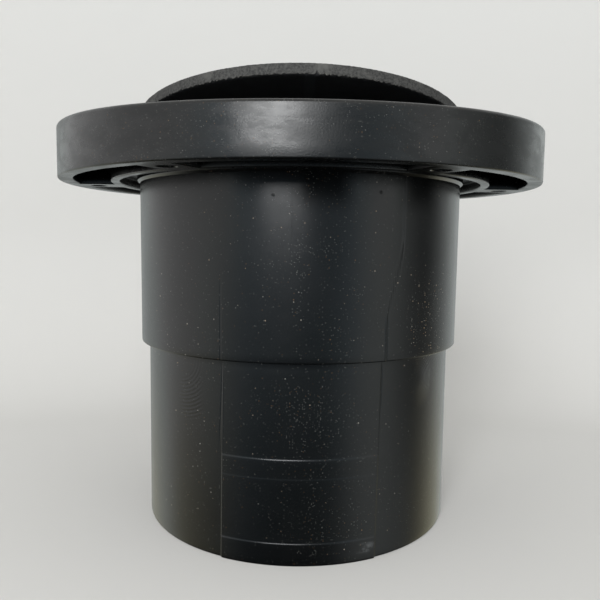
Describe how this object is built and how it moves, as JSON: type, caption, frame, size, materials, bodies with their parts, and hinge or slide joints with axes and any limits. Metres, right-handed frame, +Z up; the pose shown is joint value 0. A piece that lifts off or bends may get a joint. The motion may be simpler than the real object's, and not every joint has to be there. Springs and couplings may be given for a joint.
{
  "type": "toilet flange",
  "caption": "Toilet flange with a stepped drain spigot, a swivelling floor ring with screw holes and bolt slots, and a flat rubber seal that tilts in its cup.",
  "frame": {"origin": "centre of the spigot's lower end", "axes": "+Z up along the drain way, from the spigot's end to the floor ring; -Y is the front, where the seal stands raised"},
  "size_m": [0.176, 0.176, 0.1541],
  "materials": {
    "spigot": "glossy",
    "floor_ring": "satin",
    "seal": "matte"
  },
  "bodies": {
    "hub": {"spigot": "spigot"},
    "ring": {"floor_ring": "floor_ring"},
    "seal": {"seal": "seal"}
  },
  "joints": [
    {"name": "ring_swivel", "type": "hinge", "parent": "hub", "child": "ring", "pos_m": [0, 0, 0.128], "axis": [0, 0, 1], "continuous": true},
    {"name": "seal_tilt", "type": "hinge", "parent": "hub", "child": "seal", "pos_m": [0, 0.0605, 0.1312], "axis": [1, 0, 0], "range_deg": [-8, 9.2]}
  ]
}
